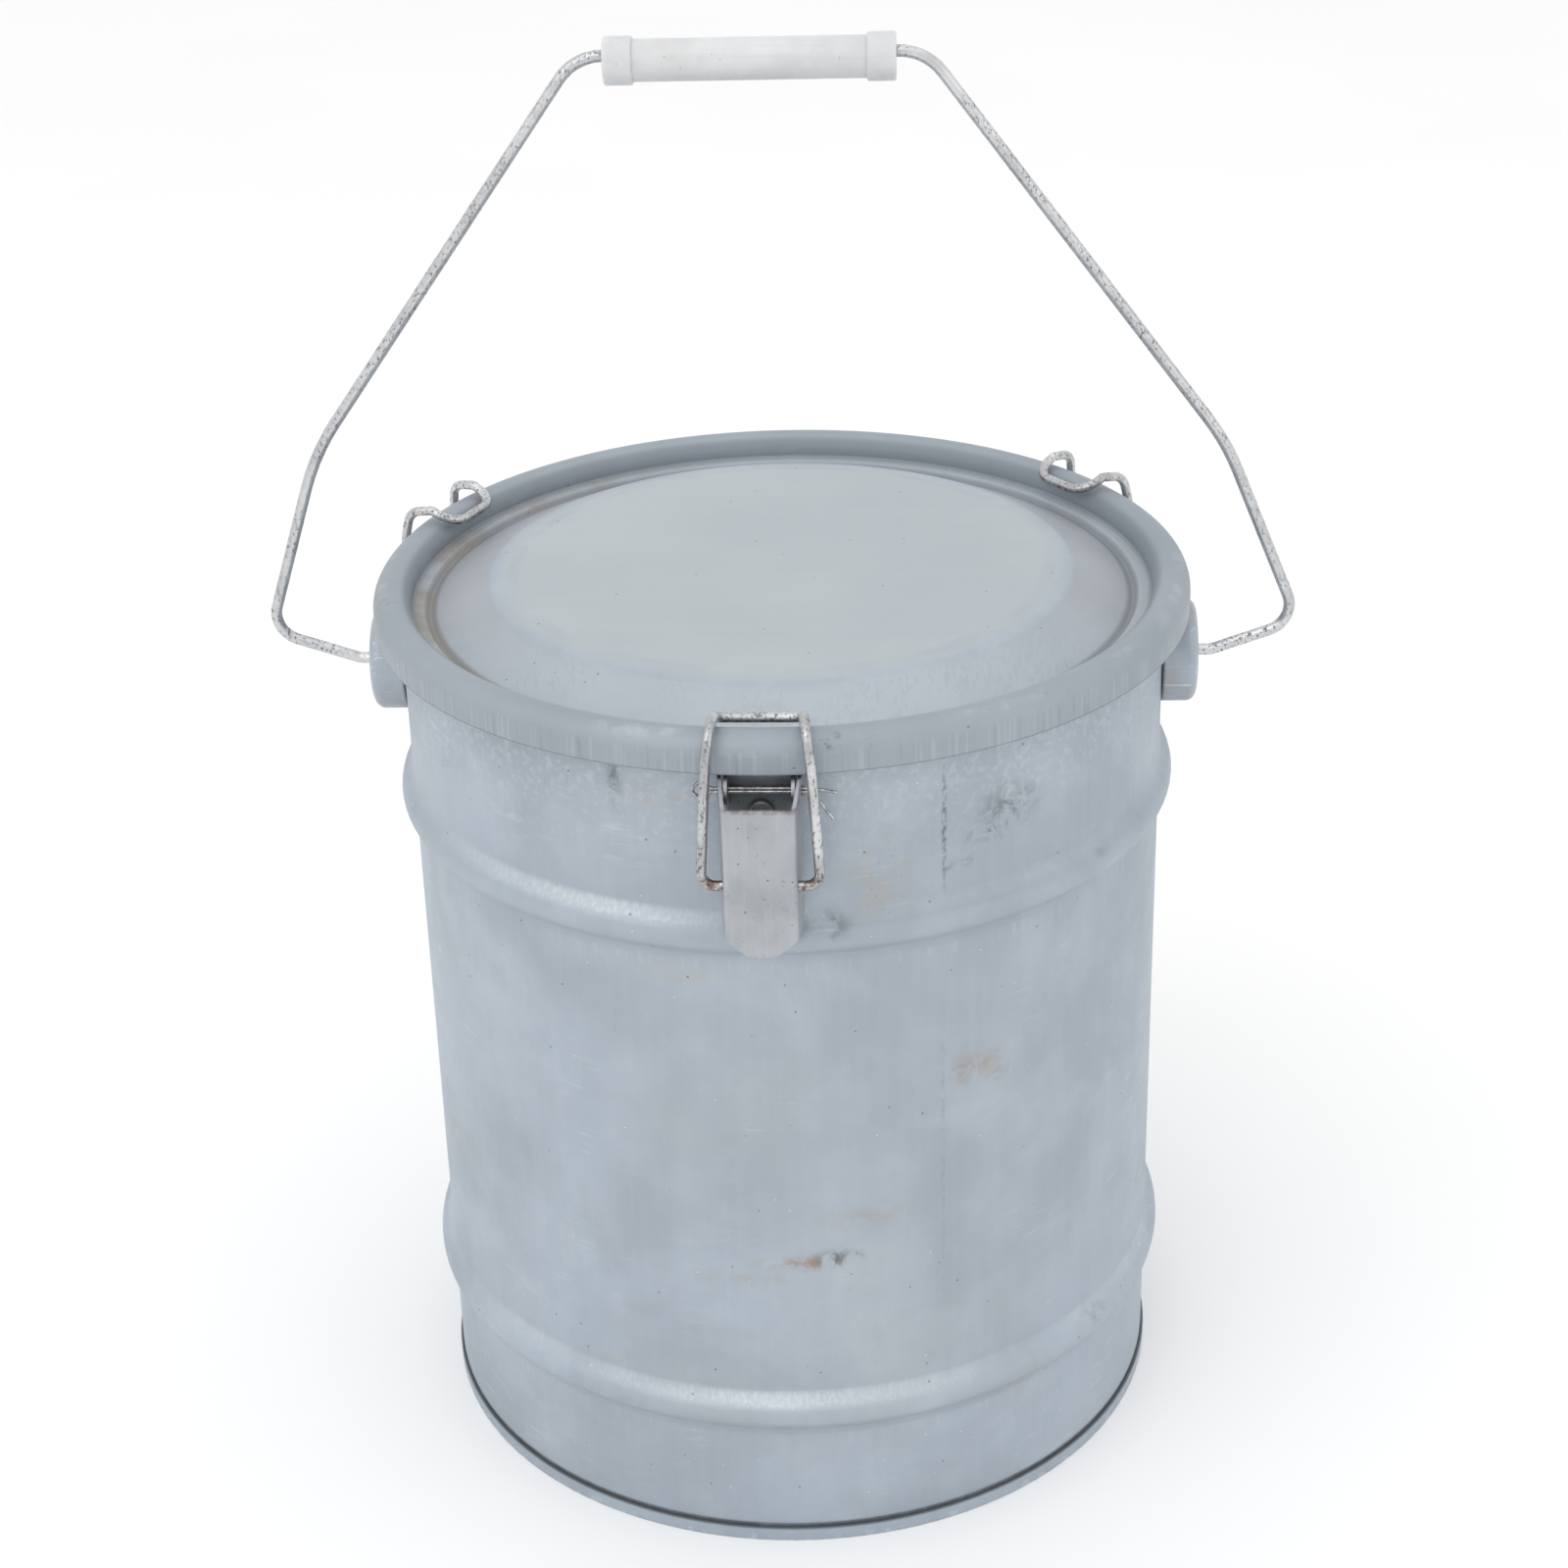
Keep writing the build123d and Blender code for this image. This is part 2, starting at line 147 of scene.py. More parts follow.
    def bump(self, height, depth, normal=None):
        node = self.tree.nodes.new("ShaderNodeBump")
        node.inputs["Distance"].default_value = depth
        self.join(node.inputs["Height"], height)
        self.join(node.inputs["Normal"], normal)
        return node.outputs[0]

    def finish(self, colour, roughness, metallic, normal=None, **fixed):
        self.join(self.surface.inputs["Base Color"], colour)
        self.join(self.surface.inputs["Roughness"], roughness)
        self.surface.inputs["Metallic"].default_value = metallic
        self.join(self.surface.inputs["Normal"], normal)
        for socket, value in fixed.items():
            self.surface.inputs[socket.replace("_", " ")].default_value = value
        return self.material


def on_wall(azimuth, height, radius=WALL_R):
    """A point at so many degrees round the can and millimetres up it. The result is in metres."""
    angle = math.radians(azimuth)
    return (radius * math.cos(angle), radius * math.sin(angle), height / MM_PER_M)


# ---- colours ---------------------------------------------------------------------
ZINC = (0.400, 0.452, 0.512)
ZINC_PALE = (0.520, 0.575, 0.625)
ZINC_DEEP = (0.350, 0.394, 0.445)
ZINC_WARM = (0.455, 0.440, 0.430)
LID_PALE = (0.430, 0.468, 0.493)
LID_RIM = (0.282, 0.318, 0.352)
DUST = (0.420, 0.385, 0.330)
TAN = (0.330, 0.255, 0.195)
SOOT = (0.070, 0.075, 0.085)
RUST = (0.130, 0.050, 0.025)
WIRE = (0.420, 0.424, 0.430)
WIRE_PALE = (0.640, 0.648, 0.658)
PLAIN = (0.410, 0.430, 0.452)
ZINC_BRIGHT = (0.66, 0.69, 0.72)
BEAD_RUB_AND_HIGHLIGHT = (0.72, 0.77, 0.80)
NICK = (0.80, 0.84, 0.86)
YELLOW = (0.330, 0.220, 0.080)
LID_PLATE = (0.455, 0.492, 0.513)
LID_SHADE_BEHIND = (0.350, 0.355, 0.362)
LID_SHEEN = (0.520, 0.552, 0.570)
GROOVE_SHADE = (0.150, 0.160, 0.175)
LEDGE_PALE = (0.400, 0.420, 0.430)
TROUGH_DUST = (0.285, 0.250, 0.205)
RIM_PALE = (0.318, 0.352, 0.386)
RIM_INNER_SHADE_AND_DIRT = (0.205, 0.232, 0.265)
RIM_WEAR_AND_HIGHLIGHT = (0.68, 0.72, 0.75)
SKIRT_PALE = (0.60, 0.64, 0.67)
SKIRT_DEEP = (0.180, 0.200, 0.225)
SKIRT_EDGE = (0.150, 0.155, 0.165)
EAR_SHINE = (0.72, 0.75, 0.78)
EAR_GAP_SHADE = (0.012, 0.012, 0.014)
PLAIN_DEEP = (0.345, 0.366, 0.390)
PLAIN_RUB = (0.52, 0.54, 0.56)
PLAIN_FLECK = (0.20, 0.20, 0.21)
PLAIN_DOT = (0.060, 0.055, 0.055)
PLAIN_SHADE = (0.030, 0.034, 0.038)
WIRE_PIT = (0.110, 0.104, 0.098)
WIRE_FLECK = (0.120, 0.105, 0.090)
WIRE_SHADE = (0.080, 0.060, 0.050)
BAIL_ZINC = (0.520, 0.530, 0.545)
PIN_DEEP = (0.26, 0.26, 0.26)
PIN_PALE = (0.60, 0.60, 0.60)
PIN_FLECK = (0.09, 0.08, 0.07)
MILKY_DEEP = (0.655, 0.666, 0.682)
MILKY_PALE = (0.740, 0.748, 0.760)
MILKY_STREAK = (0.560, 0.570, 0.590)
MILKY_YELLOW = (0.620, 0.580, 0.470)
MILKY_DIRT = (0.200, 0.180, 0.160)
MILKY_SEAM = (0.600, 0.610, 0.630)
RUBBER_DEEP = (0.045, 0.045, 0.048)
RUBBER_BLOOM = (0.100, 0.100, 0.104)
FLOOR_DEEP = (0.925, 0.925, 0.925)
FLOOR_PALE = (0.94, 0.94, 0.94)

ALONG = (1.0, 1.0, 0.05)       # stretches a pattern up and down the wall
ROUND = (0.12, 0.12, 1.0)      # stretches a pattern round the wall


def zinc_base(s, mottle_scale=16.0):
    """Mottled blue-grey zinc with vertical drawing lines and a fine grain."""
    broad = s.noise(mottle_scale, 4.0, 0.6, warp=0.4)
    colour = s.mix(s.step(broad, 0.36, 0.64), ZINC_DEEP, ZINC)
    patch = s.noise(34.0, 5.0, 0.62, shift=(0.31, 0.12, 0.4))
    colour = s.mix(s.step(patch, 0.40, 0.78, 0.0, 0.34), colour, ZINC_PALE)
    warm = s.noise(11.0, 3.0, 0.5, shift=(2.3, 1.1, 0.7))
    colour = s.mix(s.step(warm, 0.50, 0.78, 0.0, 0.24), colour, ZINC_WARM)
    small = s.noise(110.0, 4.0, 0.62, shift=(1.7, 0.4, 2.2))
    colour = s.mix(s.step(small, 0.40, 0.70, 0.0, 0.26), colour, ZINC_DEEP)
    lines = s.noise(330.0, 3.0, 0.6, stretch=ALONG)
    colour = s.mix(s.step(lines, 0.30, 0.72, 0.0, 0.10), colour, ZINC_PALE)
    grain = s.noise(1500.0, 2.0, 0.6)
    colour = s.mix(s.step(grain, 0.35, 0.70, 0.0, 0.16), colour, ZINC_DEEP)
    return colour, broad, lines, grain


def body_material():
    s = Shader("galvanised_wall")
    colour, broad, lines, grain = zinc_base(s)

    # fine horizontal rubs in patches, and a bright grain close under the lid
    rub = s.noise(620.0, 3.0, 0.62, stretch=ROUND, shift=(0.2, 0.0, 0.0))
    rub_where = s.noise(26.0, 2.0, 0.5, shift=(0.0, 3.1, 0.0))
    rubs = s.times(s.step(rub, 0.55, 0.74), s.step(rub_where, 0.46, 0.68))
    colour = s.mix(s.times(rubs, 0.45), colour, ZINC_PALE)
    shoulder = s.step(s.z, 0.236, 0.277)
    bright = s.times(shoulder, s.step(s.noise(420.0, 3.0, 0.6), 0.48, 0.66))
    colour = s.mix(s.times(bright, 0.24), colour, ZINC_BRIGHT)

    # pale worn ticks and a painted highlight along the upper flank of each bead, painted shade in a line
    # under it
    ticks = s.noise(880.0, 2.0, 0.5, stretch=(1.0, 1.0, 0.02), shift=(0.0, 0.7, 0.0))
    worn = s.step(s.noise(14.0, 2.0, 0.5, shift=(0.9, 0.0, 5.0)), 0.46, 0.70)
    tick_total = None
    for height, azimuth in zip(BEAD_HEIGHTS, BEAD_WORN_AND_HIGHLIGHT_AT):
        flank = s.band(s.z, height + 0.0058, 0.0008, 0.0026)
        under = s.band(s.z, height - 0.0062, 0.0004, 0.0044)
        arc = s.spot(on_wall(azimuth, height * MM_PER_M + 6), (0.075, 0.075, 0.020))
        where = s.add(s.times(worn, 0.40), s.times(arc, 0.60))
        on = s.times(s.times(s.step(ticks, 0.46, 0.62), flank), where)
        tick_total = on if tick_total is None else s.most(tick_total, on)
        colour = s.mix(s.times(on, 0.34), colour, BEAD_RUB_AND_HIGHLIGHT)
        # a soft pale band along the whole flank: painted highlight
        colour = s.mix(s.times(s.times(flank, where), 0.50), colour, BEAD_RUB_AND_HIGHLIGHT)
        # a darker band under the bead: painted shade
        colour = s.mix(s.times(under, 0.34), colour, ZINC_DEEP)
        low_ticks = s.times(s.step(ticks, 0.55, 0.66), s.band(s.z, height - 0.0100, 0.0010, 0.0020))
        colour = s.mix(s.times(low_ticks, 0.22), colour, ZINC_PALE)

    # the lap seam: a thin broken dark line down the wall
    for azimuth, top, bottom, strength in ((-65.6, 277.0, 226.0, 0.60), (-65.9, 210.0, 70.0, 0.14)):
        line = s.spot(on_wall(azimuth, (top + bottom) / 2), (0.0011, 0.0016, (top - bottom) / 1900), 0.7)
        broken = s.step(s.noise(760.0, 3.0, 0.7, stretch=(1.0, 1.0, 0.7)), 0.40, 0.60)
        colour = s.mix(s.times(s.times(line, broken), strength), colour, SOOT)

    # handling marks and stains, each a soft patch broken up by noise
    ragged = s.noise(120.0, 5.0, 0.70, warp=0.8)
    torn = s.step(ragged, 0.40, 0.62)
    stains = (
        (-86.0, 107.0, (0.024, 0.012, 0.0042), TAN, 0.90),
        (-82.0, 108.5, (0.011, 0.010, 0.0046), SOOT, 0.80),
        (-96.0, 101.0, (0.030, 0.012, 0.0040), TAN, 0.26),
        (-61.0, 168.0, (0.017, 0.020, 0.0090), TAN, 0.60),
        (-56.0, 163.5, (0.007, 0.010, 0.0040), TAN, 0.60),
        (-78.0, 122.0, (0.024, 0.012, 0.0060), TAN, 0.26),
        (-55.0, 253.0, (0.015, 0.018, 0.0130), SOOT, 0.62),
        (-58.5, 246.0, (0.012, 0.012, 0.0036), SOOT, 0.85),
        (-62.3, 240.0, (0.004, 0.006, 0.0040), SOOT, 0.85),
        (-65.2, 239.0, (0.003, 0.005, 0.0030), SOOT, 0.66),
        (-37.5, 224.5, (0.006, 0.006, 0.0030), SOOT, 0.45),
        (-111.8, 268.0, (0.0040, 0.0050, 0.0120), SOOT, 0.70),
        (-82.5, 225.0, (0.010, 0.010, 0.0070), SOOT, 0.70),
        (-75.0, 238.0, (0.016, 0.014, 0.0180), DUST, 0.60),
        (-106.0, 266.0, (0.016, 0.014, 0.0080), DUST, 0.55),
        (-103.5, 208.0, (0.020, 0.014, 0.0060), DUST, 0.50),
        (-36.5, 53.0, (0.010, 0.012, 0.0050), SOOT, 0.36),
        (-52.0, 45.0, (0.016, 0.020, 0.0050), DUST, 0.55),
        (-118.0, 62.0, (0.014, 0.012, 0.0040), DUST, 0.45),
        (20.0, 140.0, (0.030, 0.040, 0.0120), DUST, 0.50),
        (70.0, 190.0, (0.040, 0.030, 0.0080), TAN, 0.35),
        (118.0, 90.0, (0.040, 0.030, 0.0140), DUST, 0.55),
        (165.0, 170.0, (0.030, 0.030, 0.0060), TAN, 0.35),
        (205.0, 110.0, (0.030, 0.030, 0.0090), DUST, 0.50),
    )
    for azimuth, height, size, tint, strength in stains:
        patch = s.times(s.spot(on_wall(azimuth, height), size), torn)
        colour = s.mix(s.times(patch, strength), colour, tint)

    # black specks, and bright nicks
    dots = s.specks(120.0, 0.060, shift=(0.7, 0.2, 0.1))
    colour = s.mix(s.times(dots, 0.62), colour, SOOT)
    nicks = s.specks(95.0, 0.050, shift=(0.1, 0.9, 0.3), stretch=(1.0, 1.0, 2.4))
    colour = s.mix(s.times(nicks, 0.60), colour, NICK)

    tiny = s.specks(420.0, 0.16, shift=(0.3, 0.3, 0.7))
    spotted = s.times(tiny, s.spot(on_wall(-74.0, 236.0), (0.012, 0.012, 0.024)))
    colour = s.mix(s.times(spotted, 0.75), colour, YELLOW)

    # painted shade in the gap just over the foot's fold, and darker patches low on the wall
    # a dark line where the wall meets the top of the fold: painted shade
    fold = s.band(s.z, 0.0054, 0.0004, 0.0012)
    colour = s.mix(s.times(fold, 0.85), colour, SOOT)
    foot = s.times(s.flip(s.step(s.z, 0.006, 0.020)), s.step(ragged, 0.35, 0.70))
    colour = s.mix(s.times(foot, 0.25), colour, ZINC_DEEP)

    rough = s.step(broad, 0.30, 0.70, 0.60, 0.52)
    rough = s.math("SUBTRACT", rough, s.times(s.most(rubs, tick_total), 0.12))
    dents = s.noise(9.0, 2.0, 0.4, shift=(4.0, 1.0, 2.0))
    normal = s.bump(dents, 0.0032)
    normal = s.bump(s.add(s.times(lines, 0.5), s.times(rub, 0.5)), 0.000035, normal)
    normal = s.bump(s.add(grain, tick_total), 0.000022, normal)
    return s.finish(colour, rough, 0.50, normal)


def lid_material():
    s = Shader("galvanised_lid")
    colour, broad, _, grain = zinc_base(s, 12.0)
    r = s.radius()

    # the plate is paler and smoother; the rolled rim is a darker, even grey
    plate = s.flip(s.step(r, PLATE_R, 0.0915))
    plate_tone = s.mix(s.step(s.noise(13.0, 3.0, 0.5, shift=(7.0, 0, 0)), 0.36, 0.66), LID_PALE, LID_PLATE)
    colour = s.mix(s.times(plate, 0.92), colour, plate_tone)
    # the front of the cone is painted paler and the rest darker: painted light and shade
    cone = s.times(s.step(r, 0.0900, 0.0930), s.flip(s.step(r, 0.1095, 0.1115)))
    front = s.step(s.times(s.y, -1.0), 0.010, 0.085)
    colour = s.mix(s.times(s.times(cone, front), 0.55), colour, LID_PALE)
    behind = s.times(cone, s.flip(front))
    colour = s.mix(s.times(behind, 0.45), colour, LID_SHADE_BEHIND)

    # crossed scouring marks on the front of the cone
    scour = None
    for turn in (0.62, -0.55, 1.05):
        mark = s.noise(620.0, 2.0, 0.5, stretch=(1.0, 0.035, 1.0), turn=turn, shift=(turn, 0.0, 0.0))
        mark = s.step(mark, 0.57, 0.68)
        scour = mark if scour is None else s.most(scour, mark)
    scour = s.times(s.times(scour, cone), s.times(front, s.step(s.noise(30.0), 0.42, 0.62)))
    colour = s.mix(s.times(scour, 0.55), colour, ZINC_DEEP)

    # two pressed rings round the plate, smudged in places
    smudge = s.step(s.noise(42.0, 3.0, 0.6, shift=(1.0, 4.0, 0.0)), 0.38, 0.66)
    for ring, width in ((0.0842, 0.0006), (0.0915, 0.0008)):
        line = s.band(r, ring, width, 0.0026)
        colour = s.mix(s.times(s.times(line, smudge), 0.42), colour, ZINC_DEEP)

    # short rubs across the plate
    dash = s.noise(300.0, 3.0, 0.6, stretch=(0.07, 1.0, 1.0), shift=(0.0, 0.3, 0.0))
    dash_on = s.times(s.step(dash, 0.70, 0.78), s.times(plate, s.step(s.noise(36.0), 0.48, 0.60)))
    colour = s.mix(s.times(dash_on, 0.55), colour, TAN)
    sheen = s.noise(260.0, 3.0, 0.6, stretch=(0.03, 1.0, 1.0))
    colour = s.mix(s.times(s.times(s.step(sheen, 0.45, 0.75), plate), 0.10), colour, LID_SHEEN)

    # the trough collects dust, most of it on the left
    trough = s.times(s.step(r, 0.1075, 0.1105), s.flip(s.step(r, 0.1160, 0.1175)))
    left = s.step(s.times(s.x, -1.0), 0.02, 0.11)
    dusty = s.times(trough, s.step(s.noise(38.0, 4.0, 0.65), 0.30, 0.62))
    # a dark line in the narrow groove: painted shade
    colour = s.mix(s.times(s.band(r, 0.1102, 0.0008, 0.0016), 0.55), colour, GROOVE_SHADE)
    colour = s.mix(s.times(s.band(r, 0.1138, 0.0012, 0.0010), 0.50), colour, LEDGE_PALE)
    colour = s.mix(s.times(dusty, s.add(0.05, s.times(left, 0.66))), colour, TROUGH_DUST)

    # rolled rim
    rim = s.step(r, 0.1155, 0.1172)
    rim_tone = s.mix(s.step(s.noise(20.0, 4.0, 0.6, shift=(0, 0, 3)), 0.34, 0.68), LID_RIM, RIM_PALE)
    colour = s.mix(s.times(rim, 0.82), colour, rim_tone)
    # the inner wall of the rim painted darker: painted shade and dirt
    inner = s.times(s.step(r, 0.1148, 0.1158), s.flip(s.step(r, 0.1174, 0.1196)))
    colour = s.mix(s.times(inner, 0.62), colour, RIM_INNER_SHADE_AND_DIRT)
    # a pale broken line along the crest: wear and a painted highlight
    crest = s.times(s.band(r, 0.1246, 0.0006, 0.0020), s.step(s.z, 0.2840, 0.2875))
    crest_wear_and_highlight = s.step(s.noise(60.0, 4.0, 0.65, shift=(0, 5, 0)), 0.50, 0.72)
    colour = s.mix(s.times(s.times(crest, crest_wear_and_highlight), 0.24), colour, RIM_WEAR_AND_HIGHLIGHT)

    # upright marks on the skirt, with a few dark scrapes
    skirt = s.times(s.step(r, 0.1262, 0.1276), s.flip(s.step(s.z, 0.2830, 0.2865)))
    upright = s.noise(700.0, 2.0, 0.5, stretch=(1.0, 1.0, 0.03), shift=(0.0, 0.0, 0.4))
    colour = s.mix(s.times(s.times(s.step(upright, 0.54, 0.68), skirt), 0.16), colour, SKIRT_PALE)
    colour = s.mix(s.times(s.times(s.step(upright, 0.42, 0.30), skirt), 0.26), colour, SKIRT_DEEP)
    edge = s.flip(s.step(s.z, 0.2777, 0.2783))
    colour = s.mix(s.times(edge, 0.65), colour, SKIRT_EDGE)

    scrape = s.step(s.noise(180.0, 4.0, 0.7, stretch=(1.0, 1.0, 2.0)), 0.56, 0.66)
    for azimuth, radius, size, tint, strength in (
        (-80.5, 0.1265, (0.016, 0.010, 0.0040), SOOT, 0.55),
        (-56.5, 0.1195, (0.018, 0.009, 0.0050), TAN, 0.65),
        (-50.0, 0.1265, (0.014, 0.010, 0.0040), TAN, 0.45),
        (-166.0, 0.1250, (0.010, 0.016, 0.0050), SOOT, 0.40),
        (-146.0, 0.1180, (0.012, 0.012, 0.0040), TAN, 0.50),
        (62.0, 0.1240, (0.012, 0.010, 0.0050), SOOT, 0.40),
        (150.0, 0.1260, (0.012, 0.014, 0.0050), TAN, 0.40),
    ):
        patch = s.spot(on_wall(azimuth, RIM_TOP_MM, radius), size)
        colour = s.mix(s.times(s.times(patch, scrape), strength), colour, tint)
    colour = s.mix(s.times(s.specks(105.0, 0.055, shift=(0.2, 0.6, 0.0)), 0.55), colour, SOOT)
    colour = s.mix(s.times(s.specks(150.0, 0.050, shift=(0.9, 0.1, 0.0)), 0.35), colour, TAN)

    rough = s.add(s.step(broad, 0.30, 0.70, 0.58, 0.50), s.times(s.most(trough, inner), 0.12))
    dents = s.noise(10.0, 2.0, 0.4, shift=(1.0, 6.0, 2.0))
    normal = s.bump(dents, 0.0022)
    normal = s.bump(s.times(upright, skirt), 0.00010, normal)
    normal = s.bump(s.add(grain, s.times(scour, 1.5)), 0.000022, normal)
    return s.finish(colour, rough, 0.45, normal)


def foot_material():
    s = Shader("galvanised_foot")
    colour, broad, _, grain = zinc_base(s, 22.0)
    ragged = s.noise(90.0, 5.0, 0.7)
    colour = s.mix(s.step(ragged, 0.40, 0.80, 0.10, 0.60), colour, ZINC_DEEP)
    worn = s.times(s.step(s.noise(240.0, 3.0, 0.6), 0.52, 0.66), s.band(s.z, 0.0010, 0.0006, 0.0014))
    colour = s.mix(s.times(worn, 0.55), colour, ZINC_PALE)
    # a dark line at the top of the fold, in the gap by the wall: painted shade
    colour = s.mix(s.times(s.band(s.z, 0.0051, 0.0002, 0.0009), 0.70), colour, SOOT)
    inside = s.flip(s.step(s.radius(), 0.1185, 0.1195))
    colour = s.mix(s.times(inside, 0.30), colour, ZINC_WARM)
    normal = s.bump(s.noise(160.0, 3.0, 0.6), 0.00020)
    normal = s.bump(grain, 0.000020, normal)
    return s.finish(colour, s.step(broad, 0.3, 0.7, 0.60, 0.52), 0.50, normal)


def ear_material():
    """Pressed cup: brushed across its edge, duller on its face, with painted black shade where it meets
    the wall.
    """
    s = Shader("galvanised_ear")
    colour = zinc_base(s, 40.0)[0]
    brushed = s.noise(900.0, 2.0, 0.55, stretch=(0.05, 1.0, 1.0))
    colour = s.mix(s.step(brushed, 0.35, 0.70, 0.0, 0.45), colour, ZINC_DEEP)
    colour = s.mix(s.times(s.step(brushed, 0.58, 0.70), 0.55), colour, EAR_SHINE)
    away = s.math("ABSOLUTE", s.x)
    colour = s.mix(s.times(s.step(s.noise(70.0, 4.0, 0.6), 0.45, 0.75), 0.40), colour, TAN)
    # black in the thin gap by the wall: painted shade
    colour = s.mix(s.times(s.flip(s.step(away, 0.1192, 0.1206)), 0.92), colour, EAR_GAP_SHADE)
    lip = s.band(away, 0.1302, 0.0003, 0.0010)
    colour = s.mix(s.times(lip, 0.30), colour, ZINC_PALE)
    normal = s.bump(brushed, 0.00006)
    return s.finish(colour, 0.48, 0.60, normal)


def fitting_material(name, rust=0.5):
    """Plain pressed steel of the levers and brackets, with painted shade inside and in corners, rusty on
    cut edges.
    """
    s = Shader(name)
    broad = s.noise(60.0, 4.0, 0.6)
    colour = s.mix(s.step(broad, 0.34, 0.68), PLAIN_DEEP, PLAIN)
    rubs = s.noise(520.0, 3.0, 0.6, stretch=(1.0, 1.0, 0.06))
    colour = s.mix(s.step(rubs, 0.45, 0.75, 0.0, 0.30), colour, PLAIN_RUB)
    fleck = s.noise(420.0, 4.0, 0.68)
    colour = s.mix(s.times(s.step(fleck, 0.62, 0.72), 0.55), colour, PLAIN_FLECK)
    dots = s.specks(230.0, 0.085, shift=(0.4, 0.4, 0.0))
    colour = s.mix(s.times(dots, 0.80), colour, PLAIN_DOT)
    # dark in corners and covered places: painted shade
    shade = s.crevice(0.016, 0.10, 0.62)
    colour = s.mix(s.times(shade, 0.90), colour, PLAIN_SHADE)
    top_edge = s.times(s.band(s.z, 0.2708, 0.0003, 0.0009), s.step(s.noise(300.0, 3.0, 0.6), 0.36, 0.60))
    colour = s.mix(s.times(top_edge, rust), colour, RUST)
    low_edge = s.times(s.flip(s.step(s.z, 0.2246, 0.2262)), s.step(fleck, 0.42, 0.60))
    colour = s.mix(s.times(low_edge, rust * 0.5), colour, RUST)
    normal = s.bump(s.add(s.times(fleck, 0.5), s.times(rubs, 0.4)), 0.00006)
    return s.finish(colour, s.step(broad, 0.3, 0.7, 0.50, 0.42), 0.60, normal)


def wire_material(name, tone, pits, rusty=(), rust=0.0):
    """Zinc-coated wire: mottled, pitted dark in patches, rusty at the stated heights, with painted shade
    where other parts come close.
    """
    s = Shader(name)
    broad = s.noise(85.0, 4.0, 0.6)
    colour = s.mix(s.step(broad, 0.34, 0.66), tone, WIRE_PALE)
    pit = s.noise(1150.0, 4.0, 0.72, stretch=(1.0, 1.0, 0.55))
    where = s.noise(46.0, 3.0, 0.6, shift=(3.0, 0.0, 1.0))
    pitted = s.times(s.step(pit, 0.55, 0.63), s.step(where, 0.62 - pits * 0.45, 0.80 - pits * 0.45))
    colour = s.mix(s.times(pitted, 0.78), colour, WIRE_PIT)
    fleck = s.specks(760.0, 0.16, shift=(0.2, 0.0, 0.5))
    colour = s.mix(s.times(fleck, 0.20 + pits * 0.25), colour, WIRE_FLECK)
    r = s.radius()
    for height, half, reach in rusty:
        near = s.times(s.band(s.z, height, half, half), s.step(s.noise(340.0, 4.0, 0.7), 0.42, 0.58))
        near = s.times(near, s.flip(s.step(r, reach, reach + 0.002)))
        colour = s.mix(s.times(near, rust), colour, RUST)
    # darker where other parts cover the wire: painted shade
    covered_shade = s.crevice(0.004, 0.25, 0.80)
    colour = s.mix(s.times(covered_shade, 0.50), colour, WIRE_SHADE)
    normal = s.bump(s.flip(pitted), 0.00012)
    normal = s.bump(s.noise(260.0, 3.0, 0.6), 0.00016, normal)
    rough = s.add(0.28, s.times(pitted, 0.36))
    return s.finish(colour, rough, 0.92, normal)


def bright_wire_material():
    s = Shader("bright_wire")
    streak = s.noise(900.0, 3.0, 0.6)
    colour = s.mix(s.step(streak, 0.35, 0.70), PIN_DEEP, PIN_PALE)
    colour = s.mix(s.times(s.specks(700.0, 0.16), 0.45), colour, PIN_FLECK)
    return s.finish(colour, s.step(streak, 0.3, 0.7, 0.30, 0.18), 1.0, s.bump(streak, 0.00003))


def grip_material():
    """Milky moulded plastic, a little see-through, with dirt specks and faint turning marks."""
    s = Shader("white_plastic")
    cloud = s.noise(70.0, 4.0, 0.6)
    colour = s.mix(s.step(cloud, 0.34, 0.68), MILKY_DEEP, MILKY_PALE)
    along = s.noise(420.0, 2.0, 0.5, stretch=(0.05, 1.0, 1.0))
    colour = s.mix(s.step(along, 0.50, 0.75, 0.0, 0.22), colour, MILKY_STREAK)
    yellow = s.step(s.noise(130.0, 4.0, 0.6, shift=(0, 2, 0)), 0.58, 0.76)
    colour = s.mix(s.times(yellow, 0.22), colour, MILKY_YELLOW)
    dirt = s.specks(260.0, 0.070, shift=(0.1, 0.5, 0.0))
    colour = s.mix(s.times(dirt, 0.65), colour, MILKY_DIRT)
    seam = s.band(s.math("ABSOLUTE", s.add(s.x, GRIP_SHIFT)), 0.03430, 0.0001, 0.0005)
    colour = s.mix(s.times(seam, 0.30), colour, MILKY_SEAM)
    normal = s.bump(s.add(s.times(along, 0.6), s.noise(300.0, 3.0, 0.6)), 0.00010)
    return s.finish(
        colour, s.step(cloud, 0.3, 0.7, 0.40, 0.30), 0.0, normal,
        Subsurface_Weight=0.35, Subsurface_Scale=0.004, Subsurface_Radius=(1.0, 1.0, 1.0),
        Transmission_Weight=0.16,
    )


def rubber_material():
    s = Shader("grey_rubber")
    bloom = s.noise(120.0, 4.0, 0.6)
    colour = s.mix(s.step(bloom, 0.35, 0.70), RUBBER_DEEP, RUBBER_BLOOM)
    return s.finish(colour, s.step(bloom, 0.3, 0.7, 0.75, 0.60), 0.0, s.bump(s.noise(500.0), 0.00008))


# ---- give every CAD node its finish ----------------------------------------------
def paint(node, material):
    piece = NODES[node]
    piece.data.materials.clear()
    piece.data.materials.append(material)


# each rusty place on a hoop: its height, half its height, and the radius that it ends at
HOOP_RUST = ((0.2878, 0.0008, 0.117), (0.2455, 0.0022, 1.0))

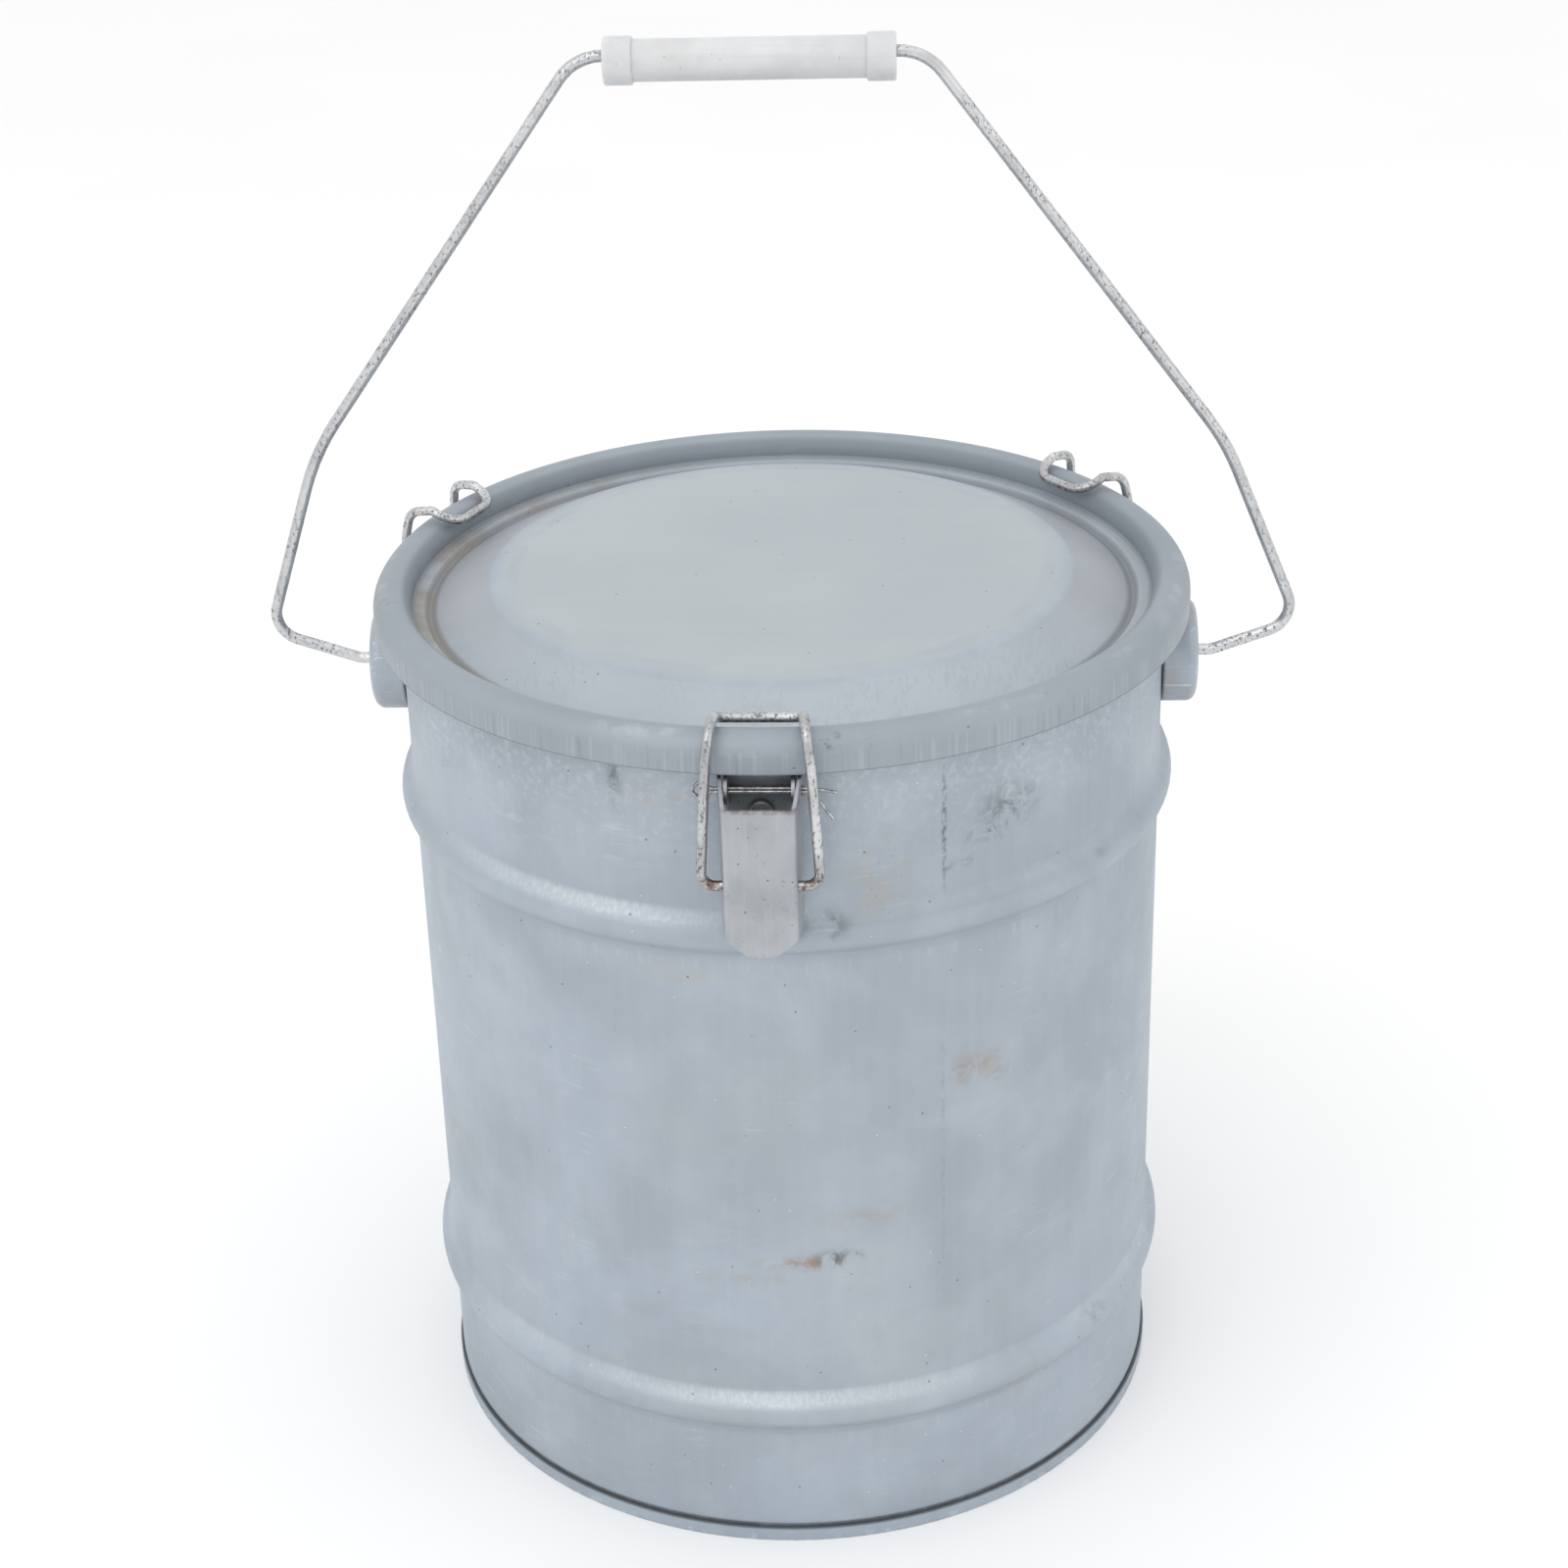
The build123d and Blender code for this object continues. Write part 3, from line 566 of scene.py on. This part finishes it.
wall = body_material()
lid = lid_material()
foot = foot_material()
ears = ear_material()
fittings = fitting_material("pressed_steel")
hoop_wire = wire_material("hoop_wire", WIRE, 0.85, HOOP_RUST, 0.80)
bail_steel = wire_material("bail_wire_steel", BAIL_ZINC, 0.62)
pin_wire = bright_wire_material()
plastic = grip_material()
rubber = rubber_material()

for node in NODES:
    if node == "body_shell":
        paint(node, wall)
    elif node == "lid_panel":
        paint(node, lid)
    elif node == "bottom_pan":
        paint(node, foot)
    elif node.startswith("ear_"):
        paint(node, ears)
    elif node == "bail_grip":
        paint(node, plastic)
    elif node == "lid_gasket":
        paint(node, rubber)
    elif node in ("bail_wire", "rim_wire"):
        paint(node, bail_steel)
    elif node.endswith("_hoop"):
        paint(node, hoop_wire)
    elif node.endswith("_split_pin"):
        paint(node, pin_wire)
    else:
        paint(node, fittings)

# ---- studio ----------------------------------------------------------------------
FLOOR_HALF = 9.0


def build_floor():
    mesh = bpy.data.meshes.new("studio_floor")
    corners = [(x * FLOOR_HALF, y * FLOOR_HALF, 0.0) for x, y in ((-1, -1), (1, -1), (1, 1), (-1, 1))]
    mesh.from_pydata(corners, [], [(0, 1, 2, 3)])
    floor = bpy.data.objects.new("studio_floor", mesh)
    bpy.context.collection.objects.link(floor)
    s = Shader("pale_floor")
    tone = s.noise(3.0, 2.0, 0.5)
    colour = s.mix(s.step(tone, 0.3, 0.7), FLOOR_DEEP, FLOOR_PALE)
    floor.data.materials.append(s.finish(colour, 0.9, 0.0))


def build_light(name, place, aim, size, power):
    data = bpy.data.lights.new(name, "AREA")
    data.shape = "DISK"
    data.size = size
    data.energy = power
    lamp = bpy.data.objects.new(name, data)
    lamp.location = place
    lamp.rotation_euler = (Vector(aim) - Vector(place)).to_track_quat("-Z", "Y").to_euler()
    bpy.context.collection.objects.link(lamp)


build_floor()
build_light("key_softbox", (-0.9, -1.3, 1.7), (0.0, 0.0, 0.20), 2.2, 9.0)
build_light("fill_softbox", (1.5, -0.9, 0.9), (0.0, 0.0, 0.15), 1.4, 1.6)
build_light("top_softbox", (0.0, -0.1, 2.0), (0.0, 0.0, 0.25), 2.2, 3.5)

world = bpy.data.worlds.new("studio")
world.use_nodes = True
world.node_tree.nodes["Background"].inputs["Color"].default_value = (1.0, 1.0, 1.0, 1.0)
world.node_tree.nodes["Background"].inputs["Strength"].default_value = 1.0
bpy.context.scene.world = world
bpy.context.scene.view_settings.view_transform = "Standard"
bpy.context.scene.view_settings.look = "None"

# ---- camera ----------------------------------------------------------------------
CAMERA_AT = Vector((0.0384, -0.8785, 0.6481))
CAMERA_AIM = Vector((-0.0401, 0.8948, -0.4448)).normalized()
CAMERA_ROLL = -0.0283
LENS_MM = 69.135
SENSOR_MM = 36.0
right = CAMERA_AIM.cross(Vector((0, 0, 1))).normalized()
up = right.cross(CAMERA_AIM)
rolled_right = right * math.cos(CAMERA_ROLL) + up * math.sin(CAMERA_ROLL)
rolled_up = up * math.cos(CAMERA_ROLL) - right * math.sin(CAMERA_ROLL)
lens = bpy.data.cameras.new("camera")
lens.lens = LENS_MM
lens.sensor_width = SENSOR_MM
camera = bpy.data.objects.new("camera", lens)
turn = Matrix((rolled_right, rolled_up, -CAMERA_AIM)).transposed()
camera.matrix_world = Matrix.Translation(CAMERA_AT) @ turn.to_4x4()
bpy.context.collection.objects.link(camera)
bpy.context.scene.camera = camera
